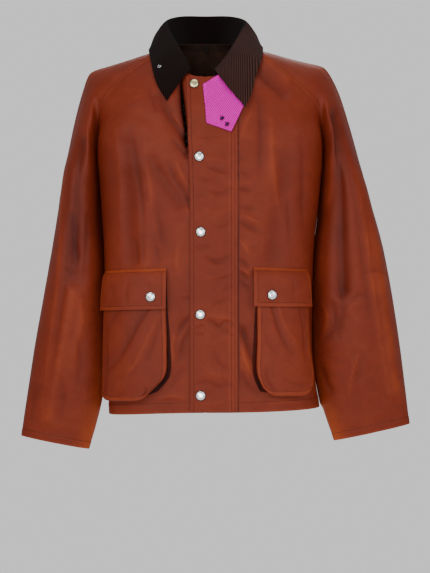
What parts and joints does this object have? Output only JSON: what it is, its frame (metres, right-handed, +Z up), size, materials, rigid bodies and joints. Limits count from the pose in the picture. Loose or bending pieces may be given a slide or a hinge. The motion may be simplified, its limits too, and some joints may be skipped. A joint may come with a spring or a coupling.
{
  "type": "waxed cotton jacket",
  "caption": "Hip-length waxed cotton jacket with raglan sleeves, corduroy collar, snap-closed storm placket, throat tab and bellows pockets, worn and closed.",
  "frame": {"origin": "middle of the wearer's shoulders, at the height of the side of the neck", "axes": "+Z up, -Y the front of the jacket, +X the wearer's left"},
  "size_m": [0.7878, 0.2743, 0.898],
  "materials": {
    "waxed_cotton": "waxed plain weave, soft sheen",
    "corduroy": "dark brown corduroy",
    "throat_corduroy": "magenta needlecord",
    "lining": "plain cotton lining",
    "loop_tape": "woven tape",
    "steel_snap": "polished press snap",
    "brass_snap": "polished press snap"
  },
  "bodies": {
    "root": {"front_right": "waxed_cotton", "front_left": "waxed_cotton", "back": "waxed_cotton", "sleeve_front_right": "waxed_cotton", "sleeve_back_right": "waxed_cotton", "sleeve_front_left": "waxed_cotton", "sleeve_back_left": "waxed_cotton", "placket": "waxed_cotton", "pocket_right": "waxed_cotton", "pocket_left": "waxed_cotton", "pocket_flap_right": "waxed_cotton", "pocket_flap_left": "waxed_cotton", "collar": "corduroy", "throat_tab": "throat_corduroy", "neck_strip": "lining", "hanger_loop": "loop_tape", "placket_snap_1": "brass_snap", "placket_snap_2": "steel_snap", "placket_snap_3": "steel_snap", "placket_snap_4": "steel_snap", "placket_snap_5": "steel_snap", "flap_snap_right": "steel_snap", "flap_snap_left": "steel_snap", "collar_eyelet": "steel_snap"}
  },
  "joints": []
}
